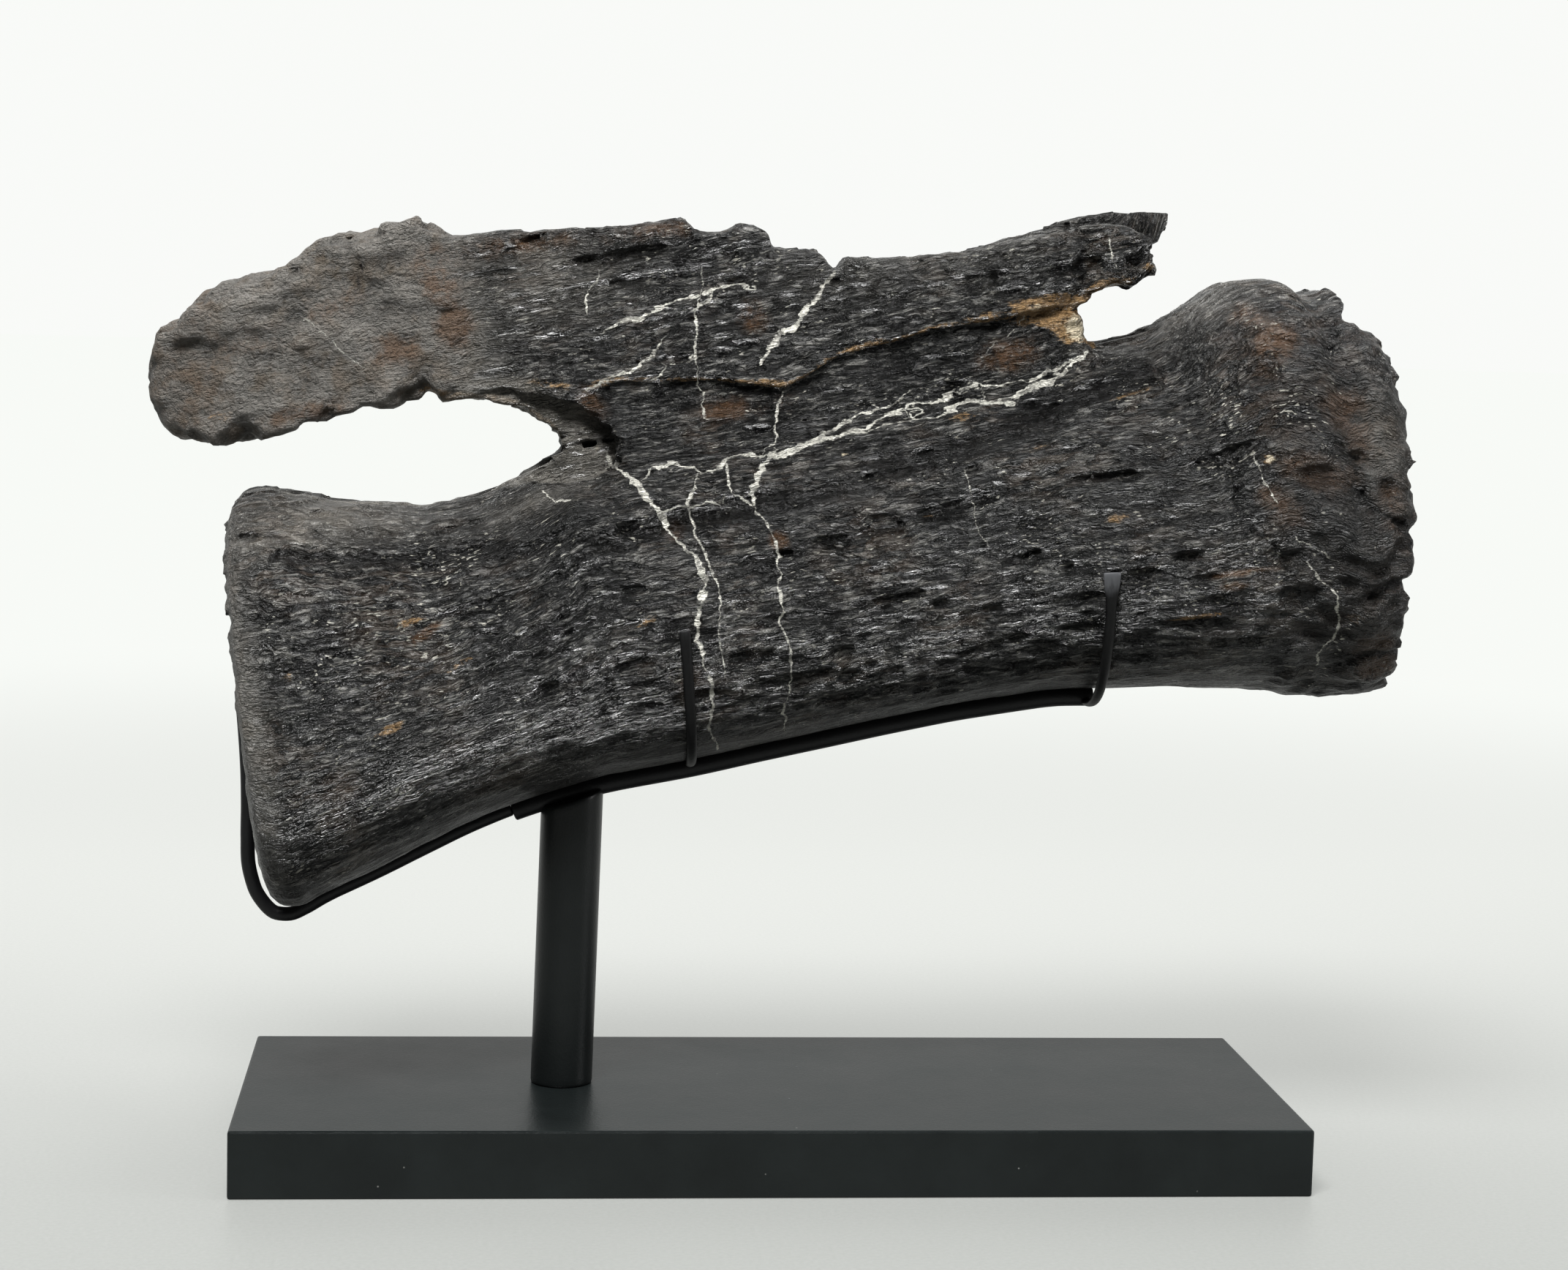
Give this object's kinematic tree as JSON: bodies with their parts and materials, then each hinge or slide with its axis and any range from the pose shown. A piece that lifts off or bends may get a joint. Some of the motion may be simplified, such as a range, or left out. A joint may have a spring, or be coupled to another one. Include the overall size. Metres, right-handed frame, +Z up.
{
  "type": "fossil sauropod tail vertebra on stand",
  "caption": "Long dark mineralised tail vertebra with a backward neural spine and broken front processes, held by rods on a black post and slab",
  "frame": {"origin": "centre of the base slab's underside, where the stand rests", "axes": "+X along the slab towards the bone's front end, +Y away from the viewer, +Z up"},
  "size_m": [0.311, 0.094, 0.2377],
  "materials": {
    "fossil_bone": "rough mineralised bone under a thin semi-gloss consolidant, with white calcite veins",
    "satin_black_slab": "satin black",
    "black_post_paint": "satin black",
    "black_bar_paint": "matt black",
    "black_rod_paint": "matt black",
    "black_prong_paint": "matt black, worn to grey at the tips"
  },
  "bodies": {
    "root": {"vertebra": "fossil_bone", "stand_base": "satin_black_slab", "stand_post": "black_post_paint", "stand_bar": "black_bar_paint", "stand_rod_rear": "black_rod_paint", "stand_prong_rear_near": "black_prong_paint", "stand_prong_rear_far": "black_prong_paint", "stand_prong_front_near": "black_prong_paint", "stand_prong_front_far": "black_prong_paint"}
  },
  "joints": []
}
